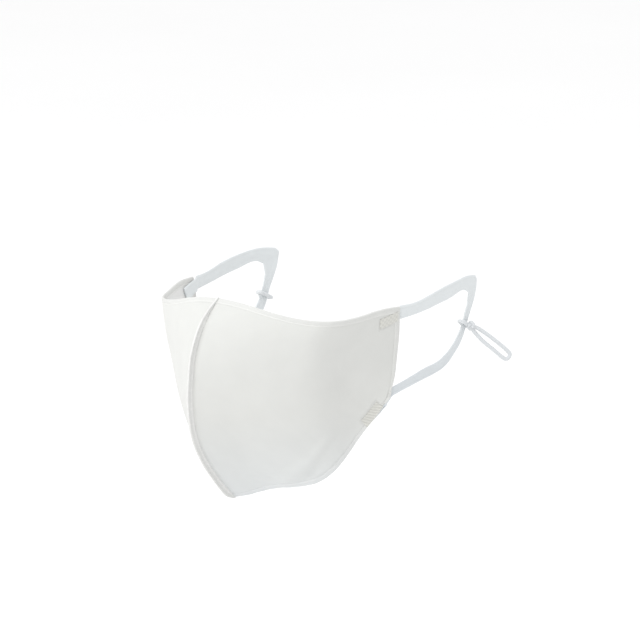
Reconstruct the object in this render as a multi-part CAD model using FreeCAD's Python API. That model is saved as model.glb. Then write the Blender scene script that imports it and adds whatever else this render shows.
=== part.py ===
import FreeCAD, Part

import math
import os

from FreeCAD import Vector

# Disposable dust mask: a cup of two mirrored halves with a welded centre seam,
# soft ear straps, and a short cord loop knotted to the back of each strap.
# It is modelled in its worn shape, in millimetres. The origin is the top of the
# centre seam, on the bridge of the nose. +Z is up, -Y is forward and +X is the
# wearer's left. The left side is modelled and the right side is its mirror.

# ---- driving dimensions -------------------------------------------------

COVER_PLY = 0.4        # outer spunbond cover
FILTER_PLY = 0.5       # melt-blown filter layer
LINING_PLY = 0.3       # inner spunbond lining
PLY_GAP = 0.05         # clearance from one ply to the next
STACK = COVER_PLY + FILTER_PLY + LINING_PLY + 2 * PLY_GAP

HEM_WIDTH = 3.5        # welded hem along each free edge
HEM_GAP = 0.15         # from the edge of the plies to the hem
CORNER_GAP = 0.5       # from the rear hem to the hems that it runs into
HEM_PROUD = 0.1        # the hem stands this far out on both faces

FIN_WIDTH = 3.6        # centre seam, from its root to its free edge
FIN_THICKNESS = 1.3
FIN_END_WIDTH = 0.8    # where the fin runs out at the nose and under the chin
FIN_TOP_TAPER = 30.0   # length over which it narrows to that, at the nose
FIN_CHIN_TAPER = 9.0   # and under the chin
SEAM_CLEARANCE = 0.35  # from the fin to the edge of each half

STRAP_THICKNESS = 0.8
WELD_LIFT = 0.08       # from the hem's face to the weld
TAB_LIFT = 0.2         # from the hem's inner face to the strap's end
WELD_THICKNESS = 0.25
CORNER_LENGTH = 32.0   # of the half that the strap's ends and their welds follow

CORD_DIAMETER = 2.2
HITCH_CLEARANCE = 0.15  # between the cord and the strap that it goes round
KNOT_DIAMETER = 5.6
KNOT_STANDS_OFF = 0.1   # further from the strap than the cord that goes round it
KNOT_ASIDE = 1.2        # from the middle of the strap's band towards its outer edge

# The four edges of the left half's outer face, as (x, y, z).
SEAM_X = FIN_THICKNESS / 2 + SEAM_CLEARANCE
SEAM_LINE = [  # down the centre seam, from the nose to under the chin
    (SEAM_X, -1.5, -0.5),
    (SEAM_X, -13.5, -12.5),
    (SEAM_X, -21.2, -28.0),
    (SEAM_X, -24.0, -46.0),
    (SEAM_X, -23.2, -63.0),
    (SEAM_X, -17.6, -79.0),
    (SEAM_X, -7.0, -93.5),
    (SEAM_X, 4.5, -105.5),
    (SEAM_X, 12.0, -111.8),
]
TOP_EDGE = [  # from the nose over the cheekbone to the ear
    (SEAM_X, -1.5, -0.5),
    (15.0, -0.2, -1.8),
    (31.0, 3.6, -5.2),
    (46.0, 10.8, -8.6),
    (57.5, 19.5, -9.9),
    (65.0, 33.5, -9.3),
    (69.8, 49.0, -6.8),
    (72.3, 63.0, -6.5),
]
REAR_EDGE = [  # down in front of the ear
    (72.3, 63.0, -6.5),
    (71.0, 64.6, -22.0),
    (69.6, 64.3, -36.0),
    (68.3, 62.6, -49.0),
    (67.4, 58.8, -56.0),
]
BOTTOM_EDGE = [  # from under the chin along the jaw to the ear
    (SEAM_X, 12.0, -111.8),
    (8.0, 16.0, -110.0),
    (16.0, 20.5, -107.2),
    (30.0, 27.0, -105.0),
    (41.5, 33.0, -101.4),
    (49.0, 37.5, -94.5),
    (53.5, 43.0, -86.0),
    (59.0, 50.2, -73.5),
    (64.8, 55.4, -63.2),
    (67.4, 58.8, -56.0),
]
FULLNESS = -6.4        # how far the middle stands out of the blend of the edges, or in
MIDDLE_OUT = Vector(0.8, -0.58, -0.1)  # and which way that is
SEAM_TURN = 0.15       # share of the width over which the plies turn at the seam

# Inner face of the ear strap: x against y along the side of the head, and how
# far that leans in towards the neck for each millimetre of height.
SIDE_LINE = [(58.0, 69.0), (66.0, 70.7), (78.0, 72.6), (92.0, 73.6),
             (108.0, 73.4), (122.0, 71.9), (137.0, 68.9), (146.0, 66.4)]
SIDE_LEAN = 0.095
SIDE_TOP = -6.5
SIDE_HEIGHTS = (8.0, -12.0, -32.0, -62.0)

# Outlines in side view, as (y, z), each drawn out sideways from PRISM_FROM to
# PRISM_TO to cut a piece out of a curved sheet. The strap is a C whose two ends meet the
# hinge line behind the half's rear edge.
PRISM_FROM, PRISM_TO = 30.0, 90.0
STRAP_OUTER = [(65.3, -6.3), (76.0, -5.9), (88.0, -3.4), (100.0, -1.0),
               (112.0, 0.6), (124.0, 1.4), (134.5, 0.2)]
STRAP_REAR = [(137.0, -2.0), (135.6, -9.0), (131.8, -17.0), (128.0, -24.0),
              (124.2, -32.0), (117.0, -39.4), (107.0, -46.0), (94.0, -49.4),
              (79.0, -52.2), (63.8, -56.4)]
STRAP_INNER = [(64.0, -51.3), (76.0, -47.6), (88.0, -44.2), (101.0, -41.8),
               (111.0, -36.6), (118.6, -30.0), (123.2, -22.0), (126.2, -14.0)]
STRAP_TOP_INNER = [(125.8, -8.0), (121.0, -6.0), (109.0, -7.4), (97.0, -9.4),
                   (84.0, -11.6), (65.2, -13.8)]
UPPER_TAB = [(63.6, -7.8), (64.6, -14.7), (50.8, -18.3), (49.4, -11.2)]
LOWER_TAB = [(58.6, -60.4), (54.8, -55.8), (47.0, -67.4), (50.4, -73.0)]
UPPER_WELD = [(62.0, -8.9), (62.4, -14.4), (51.4, -17.5), (50.2, -12.0)]
LOWER_WELD = [(56.9, -60.9), (55.0, -58.2), (48.6, -68.0), (50.9, -72.0)]

# Knot behind the strap, and the loop that comes out of it: the loop's own
# directions are outward along it and across it.
HITCH_AT = (124.7, -25.6)      # middle of the band, in side view
BAND_ALONG = (-0.45, -0.893)   # the band's direction there, in side view
BAND_WIDTH = 5.6
LOOP_OUT = (0.534, 0.542, -0.649)
LOOP_ACROSS = (0.409, 0.507, 0.759)
LOOP_ROUTE = [  # the cord's route from the knot and back, as (out, across)
    (3.15, 1.3),
    (6.5, 1.75),
    (12.0, 2.2),
    (18.0, 2.4),
    (23.6, 2.35),
    (27.9, 2.05),
    (28.2, -2.1),
    (23.9, -2.4),
    (18.2, -2.15),
    (12.3, -2.4),
    (6.7, -1.8),
    (3.15, -1.3),
]


# ---- geometry helpers ---------------------------------------------------

def spline(points):
    curve = Part.BSplineCurve()
    curve.interpolate([Vector(*point) for point in points])
    return curve


def at_share(curve, share):
    first, last = curve.FirstParameter, curve.LastParameter
    return curve.value(first + (last - first) * min(max(share, 0.0), 1.0))


SEAM, TOP, REAR, BOTTOM = (spline(e) for e in
                           (SEAM_LINE, TOP_EDGE, REAR_EDGE, BOTTOM_EDGE))


def blended(s, t):
    """Point of the left half's outer face: s from seam to ear, t from top to bottom."""
    sides = at_share(SEAM, t) * (1 - s) + at_share(REAR, t) * s
    ends = at_share(TOP, s) * (1 - t) + at_share(BOTTOM, s) * t
    corners = ((at_share(TOP, 0) * (1 - s) + at_share(TOP, 1) * s) * (1 - t)
               + (at_share(BOTTOM, 0) * (1 - s) + at_share(BOTTOM, 1) * s) * t)
    return sides + ends - corners


def face_point(s, t):
    bulge = 16 * s * (1 - s) * t * (1 - t) * FULLNESS
    return blended(s, t) + MIDDLE_OUT * bulge


def outward(s, t):
    """Outward normal of the left half's outer face."""
    step = 0.01
    s0, s1 = max(s - step, 0), min(s + step, 1)
    t0, t1 = max(t - step, 0), min(t + step, 1)
    across = face_point(s1, t) - face_point(s0, t)
    down = face_point(s, t1) - face_point(s, t0)
    normal = down.cross(across)
    return normal.normalize()


def below_face(s, t, depth):
    """Point at a depth under the outer face. At the seam the plies end in one plane."""
    normal = outward(s, t)
    turn = 1.0 if s >= SEAM_TURN else 1 - (1 - s / SEAM_TURN) ** 2
    direction = Vector(normal.x * turn, normal.y, normal.z)
    return face_point(s, t) - direction * (depth / normal.dot(direction))


def line_length(points):
    return sum((b - a).Length for a, b in zip(points, points[1:]))


LINES = 12
WIDTHS = [line_length([face_point(i / LINES, j / LINES) for i in range(LINES + 1)])
          for j in range(LINES + 1)]
HEIGHTS = [line_length([face_point(i / LINES, j / LINES) for j in range(LINES + 1)])
           for i in range(LINES + 1)]


def between(table, share):
    """Value of a table of evenly spaced values at a share of its length."""
    place = min(max(share, 0.0), 1.0) * (len(table) - 1)
    low = min(int(place), len(table) - 2)
    return table[low] + (table[low + 1] - table[low]) * (place - low)


def share_of(distance, length):
    """A distance from the start, or from the end if negative, as a share. None is the end."""
    if distance is None:
        return 1.0
    return distance / length + (1.0 if distance < 0 else 0.0)


def grid_under(s_span, t_span, depth, columns, rows):
    """Points over a piece of the half, whose spans are distances from its edges."""
    grid = []
    for i in range(columns):
        line = []
        for j in range(rows):
            a, b = i / (columns - 1), j / (rows - 1)
            s, t = a, b
            for _ in range(4):
                s_low, s_high = (share_of(d, between(WIDTHS, t)) for d in s_span)
                t_low, t_high = (share_of(d, between(HEIGHTS, s)) for d in t_span)
                s = s_low + a * (s_high - s_low)
                t = t_low + b * (t_high - t_low)
            line.append(below_face(s, t, depth))
        grid.append(line)
    return grid


def face_through(grid):
    surface = Part.BSplineSurface()
    surface.interpolate(grid)
    return surface


def borders(surface):
    u0, u1, v0, v1 = surface.bounds()
    return [surface.uIso(u0), surface.uIso(u1), surface.vIso(v0), surface.vIso(v1)]


def thick_sheet(outer_grid, inner_grid):
    """Closed solid between the faces through two grids of points."""
    outer, inner = face_through(outer_grid), face_through(inner_grid)
    faces = [outer.toShape(), inner.toShape()]
    for outer_edge, inner_edge in zip(borders(outer), borders(inner)):
        faces.append(Part.makeRuledSurface(outer_edge.toShape(), inner_edge.toShape()))
    shell = Part.makeShell(faces)
    shell.sewShape()
    solid = Part.makeSolid(shell)
    if solid.Volume < 0:
        solid.reverse()
    return solid


def sheet_of_half(s_span, t_span, top_depth, bottom_depth, columns=13, rows=9):
    return thick_sheet(grid_under(s_span, t_span, top_depth, columns, rows),
                       grid_under(s_span, t_span, bottom_depth, columns, rows))


def side_prism(wire):
    """A side-view outline drawn out sideways through the left side of the mask."""
    return Part.Face(wire).extrude(Vector(PRISM_TO - PRISM_FROM, 0, 0))


def side_points(outline):
    return [Vector(PRISM_FROM, y, z) for y, z in outline]


def smooth_edge(points):
    curve = Part.BSplineCurve()
    curve.interpolate(points)
    return curve.toShape()


def largest(shape):
    return max(shape.Solids, key=lambda solid: solid.Volume)


def tube_along(points, diameter, label):
    """Tube of straight runs joined by arcs as large as the runs allow."""
    edges, radii = [], []
    start = points[0]
    for before, corner, after in zip(points, points[1:], points[2:]):
        into, out = corner - before, after - corner
        turn = into.getAngle(out)
        cut = 0.45 * min(into.Length, out.Length)
        radius = cut / math.tan(turn / 2)
        into.normalize()
        out.normalize()
        arc_start, arc_end = corner - into * cut, corner + out * cut
        inward = (out - into).normalize()
        middle = corner + inward * (math.hypot(radius, cut) - radius)
        edges.append(Part.LineSegment(start, arc_start).toShape())
        edges.append(Part.Arc(arc_start, middle, arc_end).toShape())
        start = arc_end
        radii.append(round(radius, 1))
    edges.append(Part.LineSegment(start, points[-1]).toShape())
    path = Part.Wire(edges)
    ring = Part.Wire(Part.Circle(points[0], points[1] - points[0], diameter / 2).toShape())
    tube = path.makePipeShell([ring], True, False)
    expected = math.pi * diameter ** 2 / 4 * path.Length
    print(label, "length", round(path.Length, 1), "radii", radii,
          "volume share", round(tube.Volume / expected, 3))
    return tube


# ---- the pieces of the left side ----------------------------------------

WHOLE = (0, None)
INSIDE_SEAM = (0, -HEM_WIDTH - HEM_GAP)
INSIDE_HEMS = (HEM_WIDTH + HEM_GAP, -HEM_WIDTH - HEM_GAP)
BETWEEN_HEMS = (HEM_WIDTH + CORNER_GAP, -HEM_WIDTH - CORNER_GAP)


def plies():
    depth = 0.0
    made = {}
    for name, thickness in (("outer_shell", COVER_PLY), ("filter_layer", FILTER_PLY),
                            ("lining", LINING_PLY)):
        made[name] = sheet_of_half(INSIDE_SEAM, INSIDE_HEMS, depth, depth + thickness,
                                   15, 11)
        depth += thickness + PLY_GAP
    return made


def hems():
    spans = {
        "top_hem": (WHOLE, (0, HEM_WIDTH)),
        "bottom_hem": (WHOLE, (-HEM_WIDTH, None)),
        "rear_hem": ((-HEM_WIDTH, None), BETWEEN_HEMS),
    }
    return {name: sheet_of_half(s_span, t_span, -HEM_PROUD, STACK + HEM_PROUD,
                                15 if s_span == WHOLE else 4,
                                4 if s_span == WHOLE else 11)
            for name, (s_span, t_span) in spans.items()}


def tabs_and_welds():
    corner_span = (-CORNER_LENGTH, None)
    inner_face = STACK + HEM_PROUD + TAB_LIFT
    outer_face = -HEM_PROUD - WELD_LIFT
    inside = sheet_of_half(corner_span, WHOLE, inner_face, inner_face + STRAP_THICKNESS,
                           columns=9, rows=21)
    over = sheet_of_half(corner_span, WHOLE, outer_face - WELD_THICKNESS, outer_face,
                         columns=9, rows=21)
    made = {}
    for name, outline, sheet in (
            ("upper_strap_tab", UPPER_TAB, inside), ("lower_strap_tab", LOWER_TAB, inside),
            ("upper_weld", UPPER_WELD, over), ("lower_weld", LOWER_WELD, over)):
        points = side_points(outline)
        prism = side_prism(Part.makePolygon(points + points[:1]))
        made[name] = largest(sheet.common(prism))
    return made


def side_x(y, z):
    """Inner face of the ear strap at a place in side view."""
    for (y0, x0), (y1, x1) in zip(SIDE_LINE, SIDE_LINE[1:]):
        if y <= y1:
            break
    return x0 + (x1 - x0) * (y - y0) / (y1 - y0) + SIDE_LEAN * min(z - SIDE_TOP, 0)


def ear_strap():
    grids = [[[Vector(x + out + SIDE_LEAN * min(z - SIDE_TOP, 0), y, z)
               for z in SIDE_HEIGHTS] for y, x in SIDE_LINE]
             for out in (STRAP_THICKNESS, 0.0)]
    sheet = thick_sheet(*grids)
    runs = [STRAP_OUTER, STRAP_REAR, STRAP_INNER, STRAP_TOP_INNER]
    edges = []
    for run, following in zip(runs, runs[1:] + runs[:1]):
        points = side_points(run)
        edges.append(smooth_edge(points))
        edges.append(Part.makeLine(points[-1], side_points(following)[0]))
    return largest(sheet.common(side_prism(Part.Wire(edges))))


def hitch_and_knot():
    """A turn of cord round the back of the strap, and the knot that ties it."""
    y, z = HITCH_AT
    middle = Vector(side_x(y, z) + STRAP_THICKNESS / 2, y, z)
    slope = (side_x(y + 3, z) - side_x(y - 3, z)) / 6
    sideways = Vector(1, -slope, -SIDE_LEAN).normalize()
    along = Vector(0, *BAND_ALONG)
    across = along.cross(sideways).normalize()
    if across.y < 0:
        across = across * -1
    radius = STRAP_THICKNESS / 2 + HITCH_CLEARANCE + CORD_DIAMETER / 2
    front, back = middle - across * BAND_WIDTH / 2, middle + across * BAND_WIDTH / 2
    out = sideways * radius
    turn = across * radius
    path = Part.Wire([
        Part.LineSegment(front + out, back + out).toShape(),
        Part.Arc(back + out, back + turn, back - out).toShape(),
        Part.LineSegment(back - out, front - out).toShape(),
        Part.Arc(front - out, front - turn, front + out).toShape(),
    ])
    ring = Part.Wire(Part.Circle(front + out, across, CORD_DIAMETER / 2).toShape())
    hitch = path.makePipeShell([ring], True, False)
    knot_at = middle + across * KNOT_ASIDE + sideways * (
        STRAP_THICKNESS / 2 + HITCH_CLEARANCE + KNOT_DIAMETER / 2 + KNOT_STANDS_OFF)
    knot = Part.makeSphere(KNOT_DIAMETER / 2, knot_at)
    print("knot at", [round(v, 2) for v in knot_at])
    return hitch.cut(knot), knot, knot_at


def cord_loop(knot_at):
    out, across = Vector(*LOOP_OUT).normalize(), Vector(*LOOP_ACROSS).normalize()
    points = [knot_at + out * a + across * b for a, b in LOOP_ROUTE]
    for point in points:
        print("route", [round(v, 1) for v in point])
    return tube_along(points, CORD_DIAMETER, "cord")


# ---- the centre seam ----------------------------------------------------

def fin_width(place, length):
    """Width of the fin at a distance along the seam."""
    from_end = min(place / FIN_TOP_TAPER, (length - place) / FIN_CHIN_TAPER, 1.0)
    return FIN_END_WIDTH + (FIN_WIDTH - FIN_END_WIDTH) * math.sin(from_end * math.pi / 2)


def centre_seam():
    """Both halves welded face to face: a flat fin in the middle plane."""
    free, root = [], []
    first, last = SEAM.FirstParameter, SEAM.LastParameter
    length = SEAM.length()
    steps = 24
    for i in range(steps + 1):
        place = first + (last - first) * i / steps
        tangent = SEAM.tangent(place)[0]
        forward = Vector(0, tangent.z, -tangent.y).normalize()
        seam = SEAM.value(place)
        seam.x = -FIN_THICKNESS / 2
        free.append(seam + forward * fin_width(length * i / steps, length))
        root.append(seam - forward * STACK)
    edges = [smooth_edge(free), Part.makeLine(free[-1], root[-1]),
             smooth_edge(root), Part.makeLine(root[0], free[0])]
    face = Part.Face(Part.Wire(Part.__sortEdges__(edges)))
    return face.extrude(Vector(FIN_THICKNESS, 0, 0))


def mirrored(shape):
    return shape.mirror(Vector(0, 0, 0), Vector(1, 0, 0))


def main():
    os.makedirs("parts", exist_ok=True)
    hitch, knot, knot_at = hitch_and_knot()
    left = {**plies(), **hems(), **tabs_and_welds(), "ear_strap": ear_strap(),
            "cord_hitch": hitch, "cord_knot": knot, "cord": cord_loop(knot_at)}
    nodes = {"centre_seam": centre_seam()}
    for name, shape in left.items():
        nodes["left_" + name] = shape
        nodes["right_" + name] = mirrored(shape)
    for name, shape in nodes.items():
        if len(shape.Solids) != 1 or not shape.isValid() or shape.Volume <= 0:
            raise ValueError(f"{name} isn't one sound solid")
        shape.exportStep(f"parts/{name}.step")
        print(name, round(shape.Volume, 1))


main()
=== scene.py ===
import math

import bpy
import numpy as np
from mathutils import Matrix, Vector


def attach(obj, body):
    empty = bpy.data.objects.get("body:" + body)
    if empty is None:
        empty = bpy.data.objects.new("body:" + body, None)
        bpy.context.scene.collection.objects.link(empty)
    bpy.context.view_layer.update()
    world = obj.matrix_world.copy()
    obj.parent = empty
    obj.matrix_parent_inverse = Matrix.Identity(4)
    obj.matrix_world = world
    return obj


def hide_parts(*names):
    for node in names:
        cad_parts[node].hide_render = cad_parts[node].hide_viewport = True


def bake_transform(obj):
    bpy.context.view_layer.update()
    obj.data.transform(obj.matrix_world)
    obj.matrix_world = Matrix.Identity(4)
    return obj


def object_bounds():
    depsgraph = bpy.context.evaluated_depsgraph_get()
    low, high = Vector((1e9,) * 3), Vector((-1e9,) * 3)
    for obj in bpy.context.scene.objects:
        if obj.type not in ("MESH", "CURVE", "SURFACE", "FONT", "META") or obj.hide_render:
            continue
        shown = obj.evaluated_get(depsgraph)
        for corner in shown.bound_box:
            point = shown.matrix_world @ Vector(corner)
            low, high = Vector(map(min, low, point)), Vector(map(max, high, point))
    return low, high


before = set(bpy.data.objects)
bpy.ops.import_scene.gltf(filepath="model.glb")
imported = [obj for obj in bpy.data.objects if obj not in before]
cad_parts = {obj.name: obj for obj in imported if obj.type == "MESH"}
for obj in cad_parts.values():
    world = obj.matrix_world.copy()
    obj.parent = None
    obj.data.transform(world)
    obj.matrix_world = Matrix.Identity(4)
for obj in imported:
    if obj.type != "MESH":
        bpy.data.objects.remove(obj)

# Disposable dust mask: nonwoven cup in two halves, centre seam, ear straps welded
# into the corners, and a cord loop knotted to the back of each strap. The shapes
# are worked out in millimetres in the CAD's frame and put into Blender in metres.
# The left side is worked out, and the right side is its mirror image.

MM = 0.001
SIDES = (("left", 1), ("right", -1))
cad_low, cad_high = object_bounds()


# ---- camera and lights --------------------------------------------------

LIT_PLACE = (0.0, 0.03, -0.05)    # the lights face this place
WORLD_STRENGTH = 1.01


def camera():
    data = bpy.data.cameras.new("view")
    data.sensor_width = 36.0
    data.lens = 225.0
    data.clip_start, data.clip_end = 0.1, 50.0
    view = bpy.data.objects.new("view", data)
    view.location = (1.3285, -1.6141, 0.3935)
    looked_at = Vector((-0.00108, 0.08765, -0.0263))
    view.rotation_mode = "QUATERNION"
    view.rotation_quaternion = (looked_at - view.location).to_track_quat("-Z", "Y")
    bpy.context.collection.objects.link(view)
    bpy.context.scene.camera = view


def soft_light(name, place, power, size, colour):
    data = bpy.data.lights.new(name, "AREA")
    data.shape = "DISK"
    data.size = size
    data.energy = power
    data.color = colour
    light = bpy.data.objects.new(name, data)
    light.location = place
    towards = Vector(LIT_PLACE) - light.location
    light.rotation_euler = towards.to_track_quat("-Z", "Y").to_euler()
    bpy.context.collection.objects.link(light)


def studio():
    scene = bpy.context.scene
    scene.view_settings.view_transform = "Standard"
    world = bpy.data.worlds.new("studio")
    world.use_nodes = True
    backdrop = world.node_tree.nodes["Background"]
    backdrop.inputs["Color"].default_value = (1.0, 1.0, 1.0, 1.0)
    backdrop.inputs["Strength"].default_value = WORLD_STRENGTH
    scene.world = world
    soft_light("key", (-0.45, -1.5, 0.36), 7.3, 0.9, (1.0, 0.995, 0.98))
    soft_light("top", (0.05, -0.4, 1.28), 6.0, 0.8, (0.96, 0.98, 1.0))


camera()
studio()


# ---- materials ----------------------------------------------------------

MIXED_COLOURS = (6, 7)     # a mix node's two colour inputs
CLOTH_CLOUDS = 90          # features a metre, in a cloth's tone
FIBRES = 1500
FIBRE_STRETCH = (4.0, 0.5, 1)      # of the fibres down the cloth
CROSS_STRETCH = (0.5, 4.0, 1)      # of those across it
CLOTH_BUMP, CLOTH_BUMP_DEPTH = 0.35, 1.2e-4
MELT_CLOUDS, MELT_GRAIN = 500, 4000
MELT_BUMP, MELT_BUMP_DEPTH = 0.3, 0.6e-4
PAINTED_SHADE_PER_METRE = -9.0      # the lower parts' painted shade comes in downwards
PAINTED_SHADE_SPAN = 0.45
STRAND_PITCH = 0.75e-3     # of the cord's braid
STRAND_DEPTH = 0.35
BRAID_FUZZ = 6000
BRAID_BUMP, BRAID_BUMP_DEPTH = 0.5, 1.5e-4
RIB_SLANT = -0.65          # of the lower weld's ribs
KNURL_PITCH, RIB_PITCH = 2.5, 1.5
# painted shade in the weld faces' hollows and painted highlight on their crests
WELD_PAINTED_SHADE, WELD_PAINTED_HIGHLIGHT = 0.89, 1.01
# painted shade between the cord's strands and painted highlight on them
BRAID_PAINTED_SHADE, BRAID_PAINTED_HIGHLIGHT = 0.92, 1.05

COVER = (0.600, 0.603, 0.584)
INNER_PLY = (0.68, 0.68, 0.67)
HEM = (0.655, 0.658, 0.640)
STRAP = (0.680, 0.708, 0.718)
FIN = (0.715, 0.715, 0.700)
CORD = (0.64, 0.66, 0.675)
COOL_PAINTED_SHADE = (0.975, 0.995, 1.03)        # painted cool shade: the cup's lower parts tinted bluer
STRAP_PAINTED_SHADE = (0.89, 0.90, 0.92)   # painted shade on the strap's lower parts, darker and bluer


def node(tree, kind, **values):
    """A shader node, with its inputs or its own settings given by name."""
    made = tree.nodes.new(kind)
    for name, value in values.items():
        if name in made.inputs:
            made.inputs[name].default_value = value
        else:
            setattr(made, name, value)
    return made


def maths(tree, operation, first, second=None):
    """Output of a maths node over sockets or plain numbers."""
    made = node(tree, "ShaderNodeMath", operation=operation)
    for socket, value in zip(made.inputs, (first, second)):
        if value is None:
            continue
        if isinstance(value, (int, float)):
            socket.default_value = value
        else:
            tree.links.new(value, socket)
    return made.outputs[0]


def new_material(name, roughness, sheen):
    made = bpy.data.materials.new(name)
    made.use_nodes = True
    shader = made.node_tree.nodes["Principled BSDF"]
    shader.inputs["Roughness"].default_value = roughness
    shader.inputs["Sheen Weight"].default_value = sheen
    shader.inputs["Sheen Roughness"].default_value = 0.5
    shader.inputs["Specular IOR Level"].default_value = 0.25
    return made, made.node_tree, shader


def noise(tree, place, scale, detail=2.0, stretch=(1, 1, 1)):
    """Noise over a place in metres; scale is in features a metre."""
    mapped = node(tree, "ShaderNodeMapping", Scale=stretch)
    tree.links.new(place, mapped.inputs["Vector"])
    made = node(tree, "ShaderNodeTexNoise", Scale=scale, Detail=detail)
    tree.links.new(mapped.outputs[0], made.inputs["Vector"])
    return made.outputs[0]


def wave(tree, along, pitch):
    """Sine, from -1 to 1, of a distance in metres."""
    return maths(tree, "SINE", maths(tree, "MULTIPLY", along, 2 * math.pi / pitch))


def ramp(tree, value, low, high, dark, light):
    """Colour from dark at low to light at high."""
    made = tree.nodes.new("ShaderNodeValToRGB")
    made.color_ramp.elements[0].position = low
    made.color_ramp.elements[1].position = high
    made.color_ramp.elements[0].color = (*dark, 1)
    made.color_ramp.elements[1].color = (*light, 1)
    tree.links.new(value, made.inputs["Fac"])
    return made.outputs[0]


def uv_parts(tree, name):
    """A map's output, and its two parts, in metres."""
    place = node(tree, "ShaderNodeUVMap", uv_map=name).outputs[0]
    split = node(tree, "ShaderNodeSeparateXYZ")
    tree.links.new(place, split.inputs[0])
    return place, split.outputs[0], split.outputs[1]


def multiplied(tree, shade, other, weight):
    """The colour times another; each of the last two is a socket or a fixed value."""
    mixed = node(tree, "ShaderNodeMix", data_type="RGBA", blend_type="MULTIPLY")
    first, second = (mixed.inputs[i] for i in MIXED_COLOURS)
    tree.links.new(shade, first)
    for socket, value in ((second, other), (mixed.inputs["Factor"], weight)):
        if isinstance(value, (float, tuple)):
            socket.default_value = value
        else:
            tree.links.new(value, socket)
    return mixed.outputs[2]


def striped(tree, shade, distance, stops):
    """The colour times shares that change with a distance; stops are (mm, share)."""
    reach = stops[-1][0]
    made = tree.nodes.new("ShaderNodeValToRGB")
    elements = made.color_ramp.elements
    for place, share in stops[1:-1]:
        elements.new(place / reach).color = (share, share, share, 1)
    elements[0].color = (stops[0][1],) * 3 + (1,)
    elements[-1].color = (stops[-1][1],) * 3 + (1,)
    share = maths(tree, "MULTIPLY", distance, 1 / (reach * MM))
    tree.links.new(share, made.inputs["Fac"])
    return multiplied(tree, shade, made.outputs[0], 1.0)


def bumped(tree, shader, height, depth, strength):
    bump = node(tree, "ShaderNodeBump", Strength=strength, Distance=depth)
    tree.links.new(height, bump.inputs["Height"])
    tree.links.new(bump.outputs[0], shader.inputs["Normal"])


def times(colour, share):
    return tuple(min(c * share, 1.0) for c in colour)


def nonwoven(name, colour, bond_pitch=1.1e-3, bond_depth=0.5, mottle=0.015,
             roughness=0.9, sheen=0.25, lower_painted_shade=None, lower_from=0.55,
             edge_stops=None):
    """Fibre web with point bonds. Its pattern follows the cloth, by its flat map, and
    edge_stops are its shades at distances from the edge, by its edge map."""
    made, tree, shader = new_material(name, roughness, sheen)
    flat, across, down = uv_parts(tree, "flat")
    cloud = noise(tree, flat, CLOTH_CLOUDS, 3)
    fibres_down = noise(tree, flat, FIBRES, 3, FIBRE_STRETCH)
    fibres_across = noise(tree, flat, FIBRES, 3, CROSS_STRETCH)
    fibres = maths(tree, "MAXIMUM", fibres_down, fibres_across)
    diagonal = bond_pitch * 1.414
    slant = wave(tree, maths(tree, "ADD", across, down), diagonal)
    other = wave(tree, maths(tree, "SUBTRACT", across, down), diagonal)
    bond = maths(tree, "MAXIMUM", maths(tree, "MULTIPLY", slant, other), 0.35)
    level = maths(tree, "ADD", maths(tree, "MULTIPLY", cloud, 0.6),
                  maths(tree, "MULTIPLY", fibres, 0.4))
    shade = ramp(tree, level, 0.38, 0.68, times(colour, 1 - mottle),
                 times(colour, 1 + mottle))
    # painted shade: the lower parts are multiplied by the given tint, more so further down
    if lower_painted_shade:
        spot = node(tree, "ShaderNodeTexCoord").outputs["Object"]
        place = node(tree, "ShaderNodeSeparateXYZ")
        tree.links.new(spot, place.inputs[0])
        height = maths(tree, "MULTIPLY", place.outputs[2], PAINTED_SHADE_PER_METRE)
        weight = ramp(tree, height, lower_from, lower_from + PAINTED_SHADE_SPAN, (0, 0, 0),
                      (1, 1, 1))
        shade = multiplied(tree, shade, (*lower_painted_shade, 1), weight)
    if edge_stops:
        shade = striped(tree, shade, uv_parts(tree, "edge")[1], edge_stops)
    tree.links.new(shade, shader.inputs["Base Color"])
    height = maths(tree, "SUBTRACT", fibres, maths(tree, "MULTIPLY", bond, bond_depth))
    bumped(tree, shader, height, CLOTH_BUMP_DEPTH, CLOTH_BUMP)
    return made


def pressed(name, colour, down_stops=None, along_stops=None, knurl=None, ribs=None):
    """Plies melted together: smoother and a little glossy, with cloudy patches. Its
    shades follow the flat map, and knurl and ribs are the pitches of a weld's face."""
    made, tree, shader = new_material(name, 0.55, 0.05)
    flat, along, down = uv_parts(tree, "flat")
    cloud = noise(tree, flat, MELT_CLOUDS, 3)
    grain = noise(tree, flat, MELT_GRAIN, 2)
    shade = ramp(tree, cloud, 0.35, 0.7, times(colour, 0.97), times(colour, 1.03))
    if down_stops:
        shade = striped(tree, shade, down, down_stops)
    if along_stops:
        shade = striped(tree, shade, along, along_stops)
    relief = None
    if knurl:
        one = wave(tree, maths(tree, "ADD", along, knurl / 4), knurl)
        two = wave(tree, maths(tree, "ADD", down, knurl / 4), knurl)
        relief = maths(tree, "MULTIPLY", one, two)
    elif ribs:
        slant = maths(tree, "ADD", along, maths(tree, "MULTIPLY", down, RIB_SLANT))
        relief = wave(tree, maths(tree, "ADD", slant, ribs / 4), ribs)
    # painted shade and highlight: the colour follows the knurl's and ribs' relief, darker
    # in its hollows and lighter on its crests
    if relief is not None:
        level = maths(tree, "ADD", maths(tree, "MULTIPLY", relief, 0.42), 0.5)
        level = maths(tree, "ADD", level, maths(tree, "MULTIPLY", cloud, 0.08))
        shade = ramp(tree, level, 0.2, 0.85, times(colour, WELD_PAINTED_SHADE),
                     times(colour, WELD_PAINTED_HIGHLIGHT))
    tree.links.new(shade, shader.inputs["Base Color"])
    bumped(tree, shader, grain, MELT_BUMP_DEPTH, MELT_BUMP)
    return made


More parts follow.
